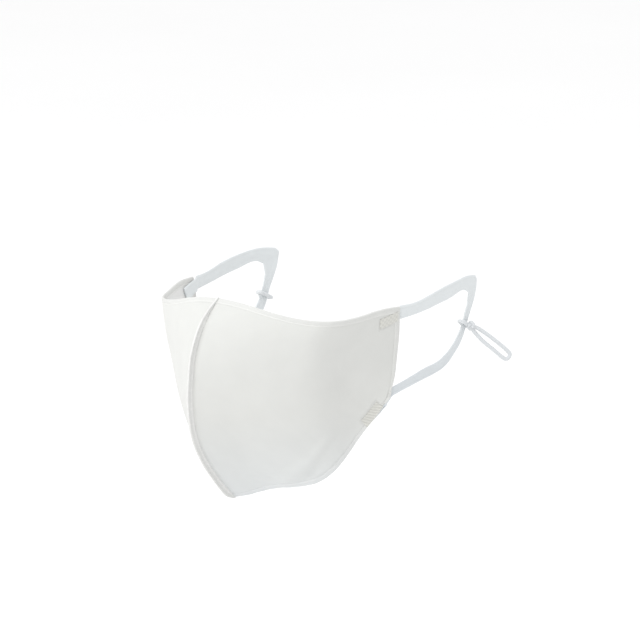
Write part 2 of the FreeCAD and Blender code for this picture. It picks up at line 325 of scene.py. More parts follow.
def braided(name, colour, axis, across):
    """Round braid: slanting strands that cross, over the cord's own directions."""
    made, tree, shader = new_material(name, 0.75, 0.3)
    spot = node(tree, "ShaderNodeTexCoord").outputs["Object"]
    lengths = []
    for direction in (axis, across):
        dot = node(tree, "ShaderNodeVectorMath", operation="DOT_PRODUCT")
        tree.links.new(spot, dot.inputs[0])
        dot.inputs[1].default_value = direction
        lengths.append(dot.outputs["Value"])
    one = wave(tree, maths(tree, "ADD", *lengths), STRAND_PITCH)
    two = wave(tree, maths(tree, "SUBTRACT", *lengths), STRAND_PITCH)
    strands = maths(tree, "MULTIPLY", one, two)
    fuzz = noise(tree, spot, BRAID_FUZZ, 2)
    level = maths(tree, "ADD", maths(tree, "MULTIPLY", strands, STRAND_DEPTH), fuzz)
    # painted shade and highlight: darker between the strands and lighter on them, with
    # random fuzz tone
    shade = ramp(tree, level, 0.15, 0.85, times(colour, BRAID_PAINTED_SHADE),
                 times(colour, BRAID_PAINTED_HIGHLIGHT))
    tree.links.new(shade, shader.inputs["Base Color"])
    bumped(tree, shader, level, BRAID_BUMP_DEPTH, BRAID_BUMP)
    return made


LOOKS = {
    "cover": nonwoven("cover", COVER, lower_painted_shade=COOL_PAINTED_SHADE),
    "filter": nonwoven("filter", INNER_PLY, bond_depth=0.0, mottle=0.04),
    "lining": nonwoven("lining", INNER_PLY, bond_pitch=0.9e-3),
    "hem": nonwoven("hem", HEM, bond_depth=0.2, roughness=0.8,
                    sheen=0.15, lower_painted_shade=COOL_PAINTED_SHADE,
                    # across the hem from its edge: darker from 0.4 to 2.3 mm in; the
                    # lighter line from 2.7 to 3.5 mm in is a painted highlight, where the
                    # step at the hem's inner side catches the light
                    edge_stops=[(0, 0.98), (0.4, 0.93), (2.3, 0.93), (2.7, 1.0),
                                (3.5, 1.0), (4.0, 0.96)]),
    "strap": nonwoven("strap", STRAP, bond_pitch=0.8e-3,
                      # painted shade: the strap darkens downwards from just below its top
                      lower_painted_shade=STRAP_PAINTED_SHADE, lower_from=0.1,
                      # painted shade: a darker line in the pressed groove 1.7 mm in from
                      # the strap's outer edge
                      edge_stops=[(0, 1.0), (1.35, 1.0), (1.65, 0.94), (1.95, 0.98),
                                  (8.0, 0.98)]),
    "fin": pressed("fin", FIN,
                   # painted shade: the fin's face is darker from 1.3 to 3.1 mm out from
                   # its root
                   down_stops=[(0, 1.0), (0.9, 1.0), (1.3, 0.93), (3.1, 0.93),
                               (3.6, 0.97)],
                   # painted light: the fin's top 16 mm, at the nose, is left lighter, and
                   # the fin is darker from 34 mm down
                   along_stops=[(0, 1.0), (16.0, 1.0), (34.0, 0.95), (170.0, 0.95)]),
    "upper_weld": pressed("upper_weld", (0.610, 0.607, 0.570), knurl=KNURL_PITCH * MM),
    "lower_weld": pressed("lower_weld", (0.575, 0.572, 0.537), ribs=RIB_PITCH * MM),
}


def dress(piece, look):
    """Gives the piece one material."""
    piece.data.materials.clear()
    piece.data.materials.append(look)


# ---- cords, knots and hitches -------------------------------------------

# Directions of the cord loop: out of the knot, and across the loop.
LOOP_OUT = np.array((0.534, 0.542, -0.649))
LOOP_ACROSS = np.array((0.409, 0.507, 0.759))
LOOP_OUT /= np.linalg.norm(LOOP_OUT)
LOOP_ACROSS /= np.linalg.norm(LOOP_ACROSS)

CORD_DIAMETER = 2.2
KNOT_CORD = 1.95               # the same cord, pulled tight
KNOT_POINTS = 24
KNOT_SIZE, KNOT_DEPTH = 0.62, 1.25
KNOT_AT = np.array((73.06, 126.41, -26.45))
HITCH_AT = (124.7, -25.6)      # middle of the strap's band, in side view
BAND_ALONG = (-0.45, -0.893)   # the band's direction there, in side view
BAND_WIDTH = 5.6
STRAP_THICKNESS = 0.8
HITCH_CLEARANCE = 0.15
LOOP_ROUTE = [  # the cord's route from the knot and back, as (out, across)
    (3.15, 1.3),
    (6.5, 1.75),
    (12.0, 2.2),
    (18.0, 2.4),
    (23.6, 2.35),
    (27.9, 2.05),
    (28.2, -2.1),
    (23.9, -2.4),
    (18.2, -2.15),
    (12.3, -2.4),
    (6.7, -1.8),
    (3.15, -1.3),
]
CORD_TUCK, TUCK_ASIDE = 1.3, 0.5    # where its ends are hidden in the knot

# Inner face of the ear strap: x against y along the side of the head, and how
# far that leans in towards the neck for each millimetre of height.
SIDE_LINE = np.array([(58.0, 69.0), (66.0, 70.7), (78.0, 72.6), (92.0, 73.6),
                      (108.0, 73.4), (122.0, 71.9), (137.0, 68.9), (146.0, 66.4)])
SIDE_LEAN = 0.095
SIDE_TOP = -6.5


def natural_spline(points):
    """Smooth curve through the points; it takes shares of its length, from 0 to 1."""
    points = np.array(points, float)
    steps = np.linalg.norm(np.diff(points, axis=0), axis=1)
    knots = np.concatenate([[0.0], np.cumsum(steps)]) / steps.sum()
    count = len(points)
    matrix, right = np.eye(count), np.zeros_like(points)
    for i in range(1, count - 1):
        before, after = knots[i] - knots[i - 1], knots[i + 1] - knots[i]
        matrix[i, i - 1:i + 2] = before, 2 * (before + after), after
        right[i] = 6 * ((points[i + 1] - points[i]) / after
                        - (points[i] - points[i - 1]) / before)
    bend = np.linalg.solve(matrix, right)

    def at(share):
        share = np.clip(np.asarray(share, float), 0, 1)
        i = np.clip(np.searchsorted(knots, share, side="right") - 1, 0, count - 2)
        width = (knots[i + 1] - knots[i])[..., None]
        a = (knots[i + 1] - share)[..., None] / width
        b = 1 - a
        bent = (a ** 3 - a) * bend[i] + (b ** 3 - b) * bend[i + 1]
        return a * points[i] + b * points[i + 1] + bent * width ** 2 / 6

    return at


side_curve = natural_spline(SIDE_LINE)
SIDE_SHARES = np.linspace(0, 1, 200)


def strap_x(y, z):
    """Inner face of the strap at a place in side view."""
    line = side_curve(SIDE_SHARES)
    lean = SIDE_LEAN * np.minimum(z - SIDE_TOP, 0)
    return np.interp(y, line[:, 0], line[:, 1]) + lean


def tube(name, points, diameter, closed=False):
    """Round cord along one smooth curve; the points are in millimetres."""
    curve = bpy.data.curves.new(name, "CURVE")
    curve.dimensions = "3D"
    curve.bevel_depth = diameter / 2 * MM
    curve.bevel_resolution = 8
    curve.resolution_u = 12
    curve.use_fill_caps = not closed
    line = curve.splines.new("NURBS")
    line.points.add(len(points) - 1)
    for point, place in zip(line.points, points):
        point.co = (*(c * MM for c in place), 1)
    line.order_u = 3
    if closed:
        line.use_cyclic_u = True
    else:
        line.use_endpoint_u = True
    piece = bpy.data.objects.new(name, curve)
    bpy.context.collection.objects.link(piece)
    return piece


def on_side(points, mirror):
    return np.array(points) * (mirror, 1, 1)


def hitch_points():
    """Round the strap's band at the back, clear of it all the way."""
    y, z = HITCH_AT
    middle = np.array((strap_x(y, z) + STRAP_THICKNESS / 2, y, z))
    slope = (strap_x(y + 3, z) - strap_x(y - 3, z)) / 6
    sideways = np.array((1, -slope, -SIDE_LEAN))
    sideways /= np.linalg.norm(sideways)
    across = np.cross((0, *BAND_ALONG), sideways)
    across /= np.linalg.norm(across) * np.sign(across[1])
    radius = STRAP_THICKNESS / 2 + HITCH_CLEARANCE + CORD_DIAMETER / 2
    near, far = BAND_WIDTH / 2 + 0.35 * radius, BAND_WIDTH / 2 + 1.08 * radius
    ring = [(0, 1), (near, 1), (far, 0.75), (far, -0.75), (near, -1),
            (0, -1), (-near, -1), (-far, -0.75), (-far, 0.75), (-near, 1)]
    return [middle + across * a + sideways * (b * radius) for a, b in ring]


def knot_points():
    """Overhand knot pulled tight into a ball."""
    third = np.cross(LOOP_OUT, LOOP_ACROSS)
    points = []
    for i in range(KNOT_POINTS):
        turn = 2 * math.pi * i / KNOT_POINTS
        aside = KNOT_SIZE * (math.sin(turn) + 2 * math.sin(2 * turn))
        up = KNOT_SIZE * (math.cos(turn) - 2 * math.cos(2 * turn))
        points.append(KNOT_AT + LOOP_ACROSS * aside + third * up
                      - LOOP_OUT * KNOT_DEPTH * math.sin(3 * turn))
    return points


def cords():
    for side, mirror in SIDES:
        axis = tuple(LOOP_OUT * (mirror, 1, 1))
        across = tuple(LOOP_ACROSS * (mirror, 1, 1))
        look = braided(f"braid_{side}", CORD, axis, across)
        ends = (CORD_TUCK, TUCK_ASIDE), (CORD_TUCK, -TUCK_ASIDE)
        route = [KNOT_AT + LOOP_OUT * a + LOOP_ACROSS * b
                 for a, b in (ends[0], *LOOP_ROUTE, ends[1])]
        loop = tube(f"{side}_cord_loop", on_side(route, mirror), CORD_DIAMETER)
        knot = tube(f"{side}_knot", on_side(knot_points(), mirror), KNOT_CORD,
                    closed=True)
        hitch = tube(f"{side}_hitch", on_side(hitch_points(), mirror), CORD_DIAMETER,
                     closed=True)
        for piece, part, body in ((loop, "cord", "loop"), (knot, "cord_knot", "strap"),
                                  (hitch, "cord_hitch", "strap")):
            dress(piece, look)
            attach(piece, f"{side}_{body}")
            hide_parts(f"{side}_{part}")


cords()


# ---- the half's surface -------------------------------------------------

COVER_PLY = 0.4
FILTER_PLY = 0.5
LINING_PLY = 0.3
PLY_GAP = 0.05
STACK = COVER_PLY + FILTER_PLY + LINING_PLY + 2 * PLY_GAP
HEM_WIDTH = 3.5
HEM_PROUD = 0.1
TUCK = 0.35            # the plies run this far into the hem's weld
FIN_THICKNESS = 1.3
SEAM_X = 1.0           # from the middle to the edge of each half
PLY_TO_FIN = 0.08      # the plies run on until this close to the fin
RUN_ON = 1.4           # and start to do so about this far from their edge

seam = natural_spline([
    (SEAM_X, -1.5, -0.5),
    (SEAM_X, -13.5, -12.5),
    (SEAM_X, -21.2, -28.0),
    (SEAM_X, -24.0, -46.0),
    (SEAM_X, -23.2, -63.0),
    (SEAM_X, -17.6, -79.0),
    (SEAM_X, -7.0, -93.5),
    (SEAM_X, 4.5, -105.5),
    (SEAM_X, 12.0, -111.8),
])
top_edge = natural_spline([
    (SEAM_X, -1.5, -0.5),
    (15.0, -0.2, -1.8),
    (31.0, 3.6, -5.2),
    (46.0, 10.8, -8.6),
    (57.5, 19.5, -9.9),
    (65.0, 33.5, -9.3),
    (69.8, 49.0, -6.8),
    (72.3, 63.0, -6.5),
])
rear_edge = natural_spline([
    (72.3, 63.0, -6.5),
    (71.0, 64.6, -22.0),
    (69.6, 64.3, -36.0),
    (68.3, 62.6, -49.0),
    (67.4, 58.8, -56.0),
])
bottom_edge = natural_spline([
    (SEAM_X, 12.0, -111.8),
    (8.0, 16.0, -110.0),
    (16.0, 20.5, -107.2),
    (30.0, 27.0, -105.0),
    (41.5, 33.0, -101.4),
    (49.0, 37.5, -94.5),
    (53.5, 43.0, -86.0),
    (59.0, 50.2, -73.5),
    (64.8, 55.4, -63.2),
    (67.4, 58.8, -56.0),
])
FULLNESS = -6.4        # how far the middle stands out of the blend of the edges
MIDDLE_OUT = np.array((0.8, -0.58, -0.1))
SEAM_TURN = 0.15       # share of the width over which the plies turn at the seam
SHARES = np.linspace(0, 1, 25)


def face_point(s, t):
    """Left half's outer face: s from seam to ear, t from top to bottom."""
    s, t = np.broadcast_arrays(np.asarray(s, float), np.asarray(t, float))
    u, v = s[..., None], t[..., None]
    sides = seam(t) * (1 - u) + rear_edge(t) * u
    ends = top_edge(s) * (1 - v) + bottom_edge(s) * v
    corners = ((top_edge(0) * (1 - u) + top_edge(1) * u) * (1 - v)
               + (bottom_edge(0) * (1 - u) + bottom_edge(1) * u) * v)
    bulge = 16 * u * (1 - u) * v * (1 - v) * FULLNESS
    return sides + ends - corners + MIDDLE_OUT * bulge


def outward(s, t):
    """Unit normal of the outer face."""
    step = 0.01
    before, after = np.maximum(s - step, 0), np.minimum(s + step, 1)
    above, below = np.maximum(t - step, 0), np.minimum(t + step, 1)
    across = face_point(after, t) - face_point(before, t)
    down = face_point(s, below) - face_point(s, above)
    normal = np.cross(down, across)
    return normal / np.linalg.norm(normal, axis=-1, keepdims=True)


def below_face(s, t, depth):
    """Points at a depth under the outer face, or above it where that is negative."""
    normal = outward(s, t)
    turn = np.where(s >= SEAM_TURN, 1.0, 1 - (1 - s / SEAM_TURN) ** 2)
    direction = normal.copy()
    direction[..., 0] *= turn
    lean = (normal * direction).sum(-1)
    points = face_point(s, t) - direction * (depth / lean)[..., None]
    from_seam = s * np.interp(t, SHARES, WIDTHS)
    run_on = SEAM_X - FIN_THICKNESS / 2 + PLY_TO_FIN
    points[..., 0] -= run_on * np.exp(-from_seam / RUN_ON)
    return points


def lengths_along(points):
    """Length of a line up to each of its points."""
    steps = np.linalg.norm(np.diff(points, axis=0), axis=1)
    return np.concatenate([[0], np.cumsum(steps)])


def run_lengths(points, axis):
    return np.linalg.norm(np.diff(points, axis=axis), axis=-1).sum(axis)


EVERY = face_point(SHARES[:, None], SHARES[None, :])
WIDTHS = run_lengths(EVERY, 0)    # from seam to ear, at each share of the height
HEIGHTS = run_lengths(EVERY, 1)   # from top to bottom, at each share of the width


def share_of(distance, length):
    """A distance from the start, or from the end if negative. None is the end."""
    if distance is None:
        return np.ones_like(length)
    return distance / length + (1.0 if distance < 0 else 0.0)


def patch(s_span, t_span, columns, rows):
    """Shares over a piece of the half, whose spans are distances from its edges."""
    a = np.linspace(0, 1, columns)[:, None] + np.zeros(rows)
    b = np.linspace(0, 1, rows)[None, :] + np.zeros((columns, 1))
    s, t = a, b
    for _ in range(4):
        width, height = np.interp(t, SHARES, WIDTHS), np.interp(s, SHARES, HEIGHTS)
        s_low, s_high = (share_of(d, width) for d in s_span)
        t_low, t_high = (share_of(d, height) for d in t_span)
        s = s_low + a * (s_high - s_low)
        t = t_low + b * (t_high - t_low)
    return s, t


def distances(s, t):
    """Distances from the seam, the ear edge, the top and the bottom, in millimetres."""
    width, height = np.interp(t, SHARES, WIDTHS), np.interp(s, SHARES, HEIGHTS)
    return s * width, (1 - s) * width, t * height, (1 - t) * height


def flat_map(s, t):
    """Where each point lies on the flat cloth, in metres."""
    from_seam, _, from_top, _ = distances(s, t)
    return np.stack([from_seam, from_top], -1) * MM


def smooth_step(value):
    value = np.clip(value, 0, 1)
    return value * value * (3 - 2 * value)


def ridge(s, t, start, end, width, height):
    """Soft crease from start to end, as shares, that dies away at both ends."""
    start, end = np.array(start), np.array(end)
    along = end - start
    place = np.stack([s, t], -1) - start
    share = (place @ along) / (along @ along)
    off = np.linalg.norm(place - share[..., None] * along, axis=-1)
    fade = np.clip(1 - (2 * np.clip(share, 0, 1) - 1) ** 2, 0, 1)
    return height * fade * np.exp(-(off / width) ** 2)


def waves(first, second, phase):
    """Uneven ripple from -1 to 1, with no pitch that shows."""
    return (np.sin(first + phase) + np.sin(second * 1.37 + 2.1 * phase)
            + np.sin((first + second) * 0.61 + 0.7 * phase)) / 3


CREASES = [  # start and end as shares, width as a share, height in millimetres
    ((0.22, 0.98), (0.62, 0.74), 0.035, 0.9),
    ((0.30, 1.0), (0.50, 0.90), 0.022, -0.6),
    ((0.66, 0.16), (0.74, 0.72), 0.055, -0.8),
    ((0.48, 0.04), (0.56, 0.40), 0.060, 0.5),
    ((0.10, 0.86), (0.34, 0.95), 0.030, 0.5),
    ((0.86, 0.98), (0.70, 0.62), 0.035, 0.6),
    ((0.99, 0.60), (0.80, 0.42), 0.040, 0.35),
]
BROAD_WAVE = 0.25      # heights of the cloth's waves
HEM_PUCKER = 0.16
SEAM_PUCKER = 0.14
HELD_BY_SEAM = 2.5     # the waves come in over this distance from the seam
HELD_BY_HEM = 6.0      # and from the hems


def drape(s, t):
    """How far the cloth stands out of the drawn face, in millimetres."""
    from_seam, _, from_top, from_bottom = distances(s, t)
    creases = sum(ridge(s, t, *crease) for crease in CREASES)
    broad = BROAD_WAVE * waves(from_seam / 7.5, from_top / 9.0, 0.4)
    pucker = (HEM_PUCKER * waves(from_seam / 1.15, from_top / 7.0, 1.1)
              * (np.exp(-from_top / 5.0) + 1.3 * np.exp(-from_bottom / 6.0)))
    seam_pucker = (SEAM_PUCKER * waves(from_top, from_seam / 6.0, 2.0)
                   * np.exp(-from_seam / 4.5))
    held = 1 - np.exp(-from_seam / HELD_BY_SEAM)
    edge = np.clip(np.minimum(from_top, from_bottom) / HELD_BY_HEM, 0.15, 1)
    return (creases + broad) * held * edge + pucker * held + seam_pucker * held


# ---- mesh building ------------------------------------------------------

def quads(first, columns, rows, flip):
    """Faces of a grid of points, whose numbers start at first."""
    index = first + np.arange(columns * rows).reshape(columns, rows)
    faces = np.stack([index[:-1, :-1], index[1:, :-1], index[1:, 1:], index[:-1, 1:]],
                     -1).reshape(-1, 4)
    return faces[:, ::-1] if flip else faces


def finished_mesh(name, points, faces, flat, mirror, sharp=35.0, edge=None):
    """Mesh in metres whose faces look out, with its flat map and its edge map."""
    points = points.copy()
    points[:, 0] *= mirror
    a, b, c, d = (points[faces[:, i]] for i in range(4))
    volume = ((a * np.cross(b, c)).sum() + (a * np.cross(c, d)).sum()) / 6
    if volume < 0:
        faces = faces[:, ::-1]
    mesh = bpy.data.meshes.new(name)
    mesh.from_pydata((points * MM).tolist(), [], faces.tolist())
    corners = np.empty(len(mesh.loops), int)
    mesh.loops.foreach_get("vertex_index", corners)
    for kind, places in (("flat", flat), ("edge", edge)):
        if places is not None:
            layer = mesh.uv_layers.new(name=kind)
            layer.data.foreach_set("uv", places[corners].ravel())
    mesh.shade_smooth()
    mesh.set_sharp_from_angle(angle=math.radians(sharp))
    piece = bpy.data.objects.new(name, mesh)
    bpy.context.collection.objects.link(piece)
    return piece


def closed_sheet(name, outer, inner, flat, mirror, from_edge=None):
    """Closed solid between two grids of points, with a rim round them."""
    columns, rows = outer.shape[:2]
    count = columns * rows
    index = np.arange(count).reshape(columns, rows)
    rim = np.concatenate([index[:, 0], index[-1, 1:], index[-2::-1, -1],
                          index[0, -2:0:-1]])
    following = np.roll(rim, -1)
    faces = np.concatenate([
        quads(0, columns, rows, False),
        quads(count, columns, rows, True),
        np.stack([following, rim, rim + count, following + count], -1)])
    points = np.concatenate([outer.reshape(-1, 3), inner.reshape(-1, 3)])
    flat, edge = flat.reshape(-1, 2), None
    if from_edge is not None:
        edge = np.tile(np.stack([from_edge.ravel() * MM, flat[:, 0]], -1), (2, 1))
    return finished_mesh(name, points, faces, np.tile(flat, (2, 1)), mirror, edge=edge)


def area_of(s, t):
    """Area of a patch of the face, in square metres."""
    points = face_point(s, t) * MM
    across = points[1:, :-1] - points[:-1, :-1]
    down = points[:-1, 1:] - points[:-1, :-1]
    return float(np.linalg.norm(np.cross(across, down), axis=-1).sum())


def follow_half(piece):
    """Bakes the piece's placement into its mesh."""
    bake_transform(piece)


# ---- plies, hems and welds ----------------------------------------------

PLY_INSIDE_HEM = HEM_WIDTH - TUCK
PUFF_HEIGHT, PUFF_REACH = 0.42, 1.1
PRESSED_DEPTH = 0.12   # of the cover where it is held down
PRESS_FADE = 1.6       # from a weld's edge to where the cover springs up
HEM_LAP = 0.2          # the rear hem runs this far into the other two
GROOVE_AT, GROOVE_WIDTH, GROOVE_DEPTH = 2.75, 0.32, 0.20   # from the hem's edge
MARKS_AT, MARK_WIDTH, MARK_DEPTH = 1.35, 0.45, 0.10        # the hem's weld marks
MARK_PITCH = 1.5
WELD_LIFT = 0.08
WELD_SEAT = 0.03       # the weld's edge stands this far off the hem as well
WELD_ROOT = 0.25       # and its back is this far down in the cloth
WELD_THICKNESS = 0.25
WELD_BEVEL = 0.45
UPPER_WELD = [(62.0, -8.9), (62.4, -14.4), (51.4, -17.5), (50.2, -12.0)]
LOWER_WELD = [(56.9, -60.9), (55.0, -58.2), (48.6, -68.0), (50.9, -72.0)]


def inside(y, z, outline):
    """How far inside a side-view outline each place is, in millimetres."""
    outline = np.array(outline)
    middle = outline.mean(0)
    depth = np.full(y.shape, np.inf)
    for start, end in zip(outline, np.roll(outline, -1, 0)):
        normal = np.array((start[1] - end[1], end[0] - start[0]))
        normal = normal / np.hypot(*normal) * np.sign(normal @ (middle - start))
        past = (y - start[0]) * normal[0] + (z - start[1]) * normal[1]
        depth = np.minimum(depth, past)
    return depth


def puff(s, t):
    """The cover springs up beside the hems, but stays pressed flat at the welds."""
    _, from_ear, from_top, from_bottom = distances(s, t)
    nearest = np.minimum(np.minimum(from_top, from_bottom), from_ear) - PLY_INSIDE_HEM
    sprung = 1 - np.exp(-np.maximum(nearest, 0) / PUFF_REACH)
    place = face_point(s, t)
    held = sum(smooth_step(1 + inside(place[..., 1], place[..., 2], weld) / PRESS_FADE)
               for weld in (UPPER_WELD, LOWER_WELD))
    return PUFF_HEIGHT * sprung * (1 - held) - PRESSED_DEPTH


def plies(side, mirror):
    """The half's three plies, each with its area."""
    made = []
    depth = 0.0
    for name, part, thickness, columns, rows in (
            ("cover", "outer_shell", COVER_PLY, 230, 260),
            ("filter", "filter_layer", FILTER_PLY, 70, 80),
            ("lining", "lining", LINING_PLY, 130, 150)):
        s, t = patch((0, -PLY_INSIDE_HEM), (PLY_INSIDE_HEM, -PLY_INSIDE_HEM), columns,
                     rows)
        out = drape(s, t)
        if name == "cover":
            out = out + puff(s, t) * np.clip(distances(s, t)[0] / 1.5, 0, 1)
        piece = closed_sheet(f"{side}_{name}_ply", below_face(s, t, depth - out),
                             below_face(s, t, depth + thickness - out),
                             flat_map(s, t), mirror)
        depth += thickness + PLY_GAP
        dress(piece, LOOKS[name])
        follow_half(piece)
        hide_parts(f"{side}_{part}")
        made.append((piece, area_of(s, t)))
    return made


def hem_face(across, along):
    """Depth of the hem's outer face: rounded free edge, weld marks, then a groove."""
    free = 0.4 * np.exp(-across / 0.28)
    groove = GROOVE_DEPTH * np.exp(-((across - GROOVE_AT) / GROOVE_WIDTH) ** 2)
    marks = MARK_DEPTH * np.exp(-((across - MARKS_AT) / MARK_WIDTH) ** 2) * (
        0.5 + 0.5 * np.sin(2 * math.pi * along / MARK_PITCH)) ** 2
    return -HEM_PROUD + free + groove + marks


def hems(side, mirror):
    """The folded edges of the half, which cover the edges of its plies."""
    made = []
    between = (HEM_WIDTH - HEM_LAP, -HEM_WIDTH + HEM_LAP)
    for name, s_span, t_span, columns, rows in (
            ("top_hem", (0, None), (0, HEM_WIDTH), 420, 20),
            ("bottom_hem", (0, None), (-HEM_WIDTH, None), 460, 20),
            ("rear_hem", (-HEM_WIDTH, None), between, 20, 230)):
        s, t = patch(s_span, t_span, columns, rows)
        from_seam, from_ear, from_top, from_bottom = distances(s, t)
        across, along = {"top_hem": (from_top, from_seam),
                         "bottom_hem": (from_bottom, from_seam),
                         "rear_hem": (from_ear, from_top)}[name]
        shape = hem_face(across, along)
        out = drape(s, t)
        piece = closed_sheet(f"{side}_{name}_cloth", below_face(s, t, shape - out),
                             below_face(s, t, STACK - shape - out), flat_map(s, t),
                             mirror, from_edge=across)
        dress(piece, LOOKS["hem"])
        follow_half(piece)
        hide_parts(f"{side}_{name}")
        made.append(piece)
    return made


def shares_under(y, z):
    """Shares of the face's points that lie nearest to places in side view."""
    flat_y, flat_z = y.ravel(), z.ravel()
    upper = flat_z.mean() > -35
    s, t = np.meshgrid(np.linspace(0.45, 1, 90),
                       np.linspace(0, 0.3, 60) if upper else np.linspace(0.6, 1, 80),
                       indexing="ij")
    known, s, t = face_point(s, t).reshape(-1, 3), s.ravel(), t.ravel()
    nearest = [int(np.argmin((known[:, 1] - a) ** 2 + (known[:, 2] - b) ** 2))
               for a, b in zip(flat_y, flat_z)]
    least, most = 0.002, 0.998
    s, t = np.minimum(s[nearest], most), np.clip(t[nearest], least, most)
    step, longest = 1e-3, 0.01
    for _ in range(6):
        here = face_point(s, t)
        by_s = (face_point(s + step, t) - here) / step
        by_t = (face_point(s, t + step) - here) / step
        miss_y, miss_z = flat_y - here[:, 1], flat_z - here[:, 2]
        across = by_s[:, 1] * by_t[:, 2] - by_t[:, 1] * by_s[:, 2]
        move_s = (miss_y * by_t[:, 2] - miss_z * by_t[:, 1]) / across
        move_t = (miss_z * by_s[:, 1] - miss_y * by_s[:, 2]) / across
        s = np.clip(s + np.clip(move_s, -longest, longest), 0.4, most)
        t = np.clip(t + np.clip(move_t, -longest, longest), least, most)
    return s.reshape(y.shape), t.reshape(y.shape)


def quad_grid(corners, columns, rows):
    """Side-view grid over four corners, and the shares along its two directions."""
    a = np.linspace(0, 1, columns)[:, None] + np.zeros(rows)
    b = np.linspace(0, 1, rows)[None, :] + np.zeros((columns, 1))
    p, q, r, last = (np.array(corner) for corner in corners)
    u, v = a[..., None], b[..., None]
    points = (p * (1 - u) + last * u) * (1 - v) + (q * (1 - u) + r * u) * v
    return points[..., 0], points[..., 1], a, b


def welds(side, mirror):
    """Melted patches over the strap's ends: a knurled one and a ribbed one."""
    for name, corners, length, width, columns, rows in (
            ("upper_weld", UPPER_WELD, 11.6, 5.6, 110, 58),
            ("lower_weld", LOWER_WELD, 11.9, 4.0, 120, 44)):
        y, z, a, b = quad_grid(corners, columns, rows)
        s, t = shares_under(y, z)
        along, across = a * length, b * width
        turn = 2 * math.pi
        if name == "upper_weld":
            rise = (0.5 + 0.5 * np.cos(turn * along / KNURL_PITCH)
                    * np.cos(turn * across / KNURL_PITCH))
        else:
            rise = 0.5 + 0.5 * np.cos(turn * (along + RIB_SLANT * across) / RIB_PITCH)
        from_edge = np.minimum(np.minimum(along, length - along),
                               np.minimum(across, width - across))
        rise = (WELD_THICKNESS * (0.25 + 0.75 * rise)
                * np.clip(from_edge / WELD_BEVEL, 0, 1))
        out = drape(s, t)
        top = -HEM_PROUD - WELD_SEAT - WELD_LIFT * 0.5 - rise - out
        flat = np.stack([along, across], -1) * MM
        piece = closed_sheet(f"{side}_{name}_patch", below_face(s, t, top),
                             below_face(s, t, WELD_ROOT - out), flat, mirror)
        dress(piece, LOOKS[name])
        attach(piece, f"{side}_half")
        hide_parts(f"{side}_{name}")


# ---- ear straps ---------------------------------------------------------

STRAP_OUTER = [(65.3, -6.3), (76.0, -5.9), (88.0, -3.4), (100.0, -1.0),
               (112.0, 0.6), (124.0, 1.4), (134.5, 0.2)]
STRAP_REAR = [(137.0, -2.0), (135.6, -9.0), (131.8, -17.0), (128.0, -24.0),
              (124.2, -32.0), (117.0, -39.4), (107.0, -46.0), (94.0, -49.4),
              (79.0, -52.2), (63.8, -56.4)]
STRAP_INNER = [(64.0, -51.3), (76.0, -47.6), (88.0, -44.2), (101.0, -41.8),
               (111.0, -36.6), (118.6, -30.0), (123.2, -22.0), (126.2, -14.0)]
STRAP_TOP_INNER = [(125.8, -8.0), (121.0, -6.0), (109.0, -7.4), (97.0, -9.4),
                   (84.0, -11.6), (65.2, -13.8)]
UPPER_TAB = [(63.6, -7.8), (64.6, -14.7), (50.8, -18.3), (49.4, -11.2)]
LOWER_TAB = [(58.6, -60.4), (54.8, -55.8), (47.0, -67.4), (50.4, -73.0)]
TAB_LIFT = 0.2         # from the hem's inner face to the strap's end
TAB_STATIONS = 34      # along each end that lies under the half
JOIN_STATIONS = 20     # from there to where the strap stands free
STRAP_ROWS = 26
STRAP_ROUNDING = 0.45  # of its edges
STRAP_RIPPLES = 0.16, 0.10
EDGE_LINE, EDGE_LINE_WIDTH, EDGE_LINE_DEPTH = 1.7, 0.28, 0.13


def between_points(first, second, shares):
    """Straight run of points from the first to the second."""
    return first * (1 - shares) + second * shares


def strap_outlines():
    """Outer and inner edge of the strap in side view, from its upper weld round the
    ear to its lower weld, and the two runs of stations that lie under the half."""
    tab = np.linspace(0, 1, TAB_STATIONS)[:, None]
    out_of = np.linspace(0, 1, 10)[1:-1, None]
    over = np.linspace(0, 1, 14)[1:-1, None]
    upper, lower = np.array(UPPER_TAB), np.array(LOWER_TAB)
    edges = []
    for tab_in, tab_out, top, rear, low_out, low_in in (
            (upper[3], upper[0], STRAP_OUTER, STRAP_REAR, lower[0], lower[3]),
            (upper[2], upper[1], STRAP_TOP_INNER[::-1], STRAP_INNER[::-1], lower[1],
             lower[2])):
        top_run = natural_spline(top)(np.linspace(0, 1, 190))
        rear_run = natural_spline(rear)(np.linspace(0, 1, 230))
        edges.append(np.concatenate([
            between_points(tab_in, tab_out, tab),
            between_points(tab_out, np.array(top[0]), out_of),
            top_run,
            between_points(top_run[-1], np.array(rear[0]), over),
            rear_run,
            between_points(rear_run[-1], low_out, over),
            between_points(low_out, low_in, tab)]))
    outer, inner = edges
    upper_end = slice(0, TAB_STATIONS - 2)
    lower_end = slice(len(outer) - TAB_STATIONS + 4, len(outer))
    return outer, inner, (upper_end, lower_end)


